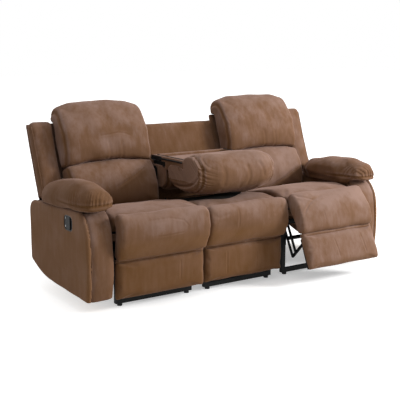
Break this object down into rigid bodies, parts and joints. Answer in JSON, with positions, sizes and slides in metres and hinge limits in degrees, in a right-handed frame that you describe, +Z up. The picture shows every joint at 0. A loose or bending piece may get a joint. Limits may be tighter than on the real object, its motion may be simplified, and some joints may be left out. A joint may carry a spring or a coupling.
{
  "type": "reclining sofa",
  "caption": "Upholstered reclining sofa with pillow arms, pull handles, fold-out footrests on black steel links, and a middle back that folds down into a console with cup wells.",
  "frame": {"origin": "on the floor, at the middle of the footprint with the right footrest partly open", "axes": "+X along the sofa to the sitter's left as seen from behind, +Y from the footrests to the backs, +Z up"},
  "size_m": [2.0562, 1.0268, 1.0291],
  "materials": {
    "suede": "brushed microfibre suede",
    "black_steel": "satin black powder coat",
    "pin_steel": "zinc plated",
    "spring_steel": "drawn wire",
    "timber": "planed softwood",
    "board": "plywood",
    "black_plastic": "moulded",
    "grey_plastic": "moulded, fine grain",
    "glide": "hard rubber"
  },
  "bodies": {
    "root": {"arm_frames": "timber", "arm_inner_panels": "suede", "console_brackets": "black_steel", "floor_glides": "glide", "handle_cups": "black_plastic", "handle_pins": "pin_steel", "left_arm_front": "suede", "left_arm_outer_panel": "suede", "left_arm_pad": "suede", "left_seat_cushion": "suede", "middle_back_cover": "suede", "middle_back_frame": "black_steel", "middle_front_roll": "suede", "middle_lower_panel": "suede", "middle_panel_board": "board", "middle_seat_cushion": "suede", "rear_panel": "suede", "right_arm_front": "suede", "right_arm_outer_panel": "suede", "right_arm_pad": "suede", "right_seat_cushion": "suede", "seat_frames": "black_steel", "seat_springs": "spring_steel", "side_plates": "black_steel", "underframe": "black_steel"},
    "left_roll": {"left_front_roll": "suede"},
    "left_panel": {"left_footrest_pad": "suede", "left_footrest_board": "board", "left_footrest_brackets": "black_steel"},
    "left_rear_link_pair": {"left_rear_links": "black_steel"},
    "left_front_link_pair": {"left_front_links": "black_steel"},
    "left_footrest_link_pair": {"left_footrest_links": "black_steel"},
    "left_back": {"left_lumbar_cushion": "suede", "left_headrest_pillow": "suede", "left_outer_back": "suede", "left_wing": "suede", "left_back_frame": "black_steel"},
    "left_lever": {"left_handle_lever": "grey_plastic"},
    "right_roll": {"right_front_roll": "suede"},
    "right_panel": {"right_footrest_pad": "suede", "right_footrest_board": "board", "right_footrest_brackets": "black_steel"},
    "right_rear_link_pair": {"right_rear_links": "black_steel"},
    "right_front_link_pair": {"right_front_links": "black_steel"},
    "right_footrest_link_pair": {"right_footrest_links": "black_steel"},
    "right_back": {"right_lumbar_cushion": "suede", "right_headrest_pillow": "suede", "right_outer_back": "suede", "right_wing": "suede", "right_back_frame": "black_steel"},
    "right_lever": {"right_handle_lever": "grey_plastic"},
    "console": {"console_shell": "suede", "console_tray": "suede", "cup_liners": "black_plastic", "tray_trims": "black_plastic", "console_lumbar": "suede", "console_headrest": "suede", "console_arms": "black_steel"}
  },
  "joints": [
    {"name": "left_footrest", "type": "hinge", "parent": "root", "child": "left_roll", "pos_m": [-0.559, -0.32307, 0.476], "axis": [-1, 0, 0], "range_deg": [0, 92]},
    {"name": "left_panel_fold", "type": "hinge", "parent": "left_roll", "child": "left_panel", "pos_m": [-0.559, -0.29607, 0.26], "axis": [-1, 0, 0], "range_deg": [-38.7, 0.1]},
    {"name": "left_rear_link_turn", "type": "hinge", "parent": "root", "child": "left_rear_link_pair", "pos_m": [-0.559, -0.17607, 0.32], "axis": [-1, 0, 0], "range_deg": [-0.1, 92.1]},
    {"name": "left_front_link_turn", "type": "hinge", "parent": "root", "child": "left_front_link_pair", "pos_m": [-0.559, -0.20533, 0.35091], "axis": [-1, 0, 0], "range_deg": [-0.1, 92.1]},
    {"name": "left_footrest_link_turn", "type": "hinge", "parent": "left_panel", "child": "left_footrest_link_pair", "pos_m": [-0.559, -0.24407, 0.24], "axis": [-1, 0, 0], "range_deg": [-60, 0.1]},
    {"name": "left_recline", "type": "hinge", "parent": "root", "child": "left_back", "pos_m": [-0.559, 0.34893, 0.34], "axis": [-1, 0, 0], "range_deg": [0, 25]},
    {"name": "left_pull", "type": "hinge", "parent": "root", "child": "left_lever", "pos_m": [-0.996, -0.06007, 0.452], "axis": [0, 0, -1], "range_deg": [0, 25], "stiffness_Nm_per_rad": 0.4, "springref_deg": -17.19},
    {"name": "right_footrest", "type": "hinge", "parent": "root", "child": "right_roll", "pos_m": [0.559, -0.32307, 0.476], "axis": [-1, 0, 0], "range_deg": [-39.2, 52.8]},
    {"name": "right_panel_fold", "type": "hinge", "parent": "right_roll", "child": "right_panel", "pos_m": [0.559, -0.43867, 0.29155], "axis": [-1, 0, 0], "range_deg": [-22.2, 16.5]},
    {"name": "right_rear_link_turn", "type": "hinge", "parent": "root", "child": "right_rear_link_pair", "pos_m": [0.559, -0.17607, 0.32], "axis": [-1, 0, 0], "range_deg": [-39.3, 52.9]},
    {"name": "right_front_link_turn", "type": "hinge", "parent": "root", "child": "right_front_link_pair", "pos_m": [0.559, -0.20533, 0.35091], "axis": [-1, 0, 0], "range_deg": [-39.3, 52.9]},
    {"name": "right_footrest_link_turn", "type": "hinge", "parent": "right_panel", "child": "right_footrest_link_pair", "pos_m": [0.559, -0.39843, 0.253], "axis": [-1, 0, 0], "range_deg": [-34.4, 25.6]},
    {"name": "right_recline", "type": "hinge", "parent": "root", "child": "right_back", "pos_m": [0.559, 0.34893, 0.34], "axis": [-1, 0, 0], "range_deg": [0, 25]},
    {"name": "right_pull", "type": "hinge", "parent": "root", "child": "right_lever", "pos_m": [0.996, -0.06007, 0.452], "axis": [0, 0, 1], "range_deg": [0, 25], "stiffness_Nm_per_rad": 0.4, "springref_deg": -17.19},
    {"name": "console_fold", "type": "hinge", "parent": "root", "child": "console", "pos_m": [0, 0.24893, 0.63], "axis": [-1, 0, 0], "range_deg": [0, 110.5]}
  ],
  "couplings": [
    {"joint": "left_panel_fold", "follows": "left_footrest", "ratio": -0.42},
    {"joint": "left_rear_link_turn", "follows": "left_footrest", "ratio": 1},
    {"joint": "left_front_link_turn", "follows": "left_footrest", "ratio": 1},
    {"joint": "left_footrest_link_turn", "follows": "left_footrest", "ratio": -0.6514},
    {"joint": "right_panel_fold", "follows": "right_footrest", "ratio": -0.42},
    {"joint": "right_rear_link_turn", "follows": "right_footrest", "ratio": 1},
    {"joint": "right_front_link_turn", "follows": "right_footrest", "ratio": 1},
    {"joint": "right_footrest_link_turn", "follows": "right_footrest", "ratio": -0.6514}
  ]
}
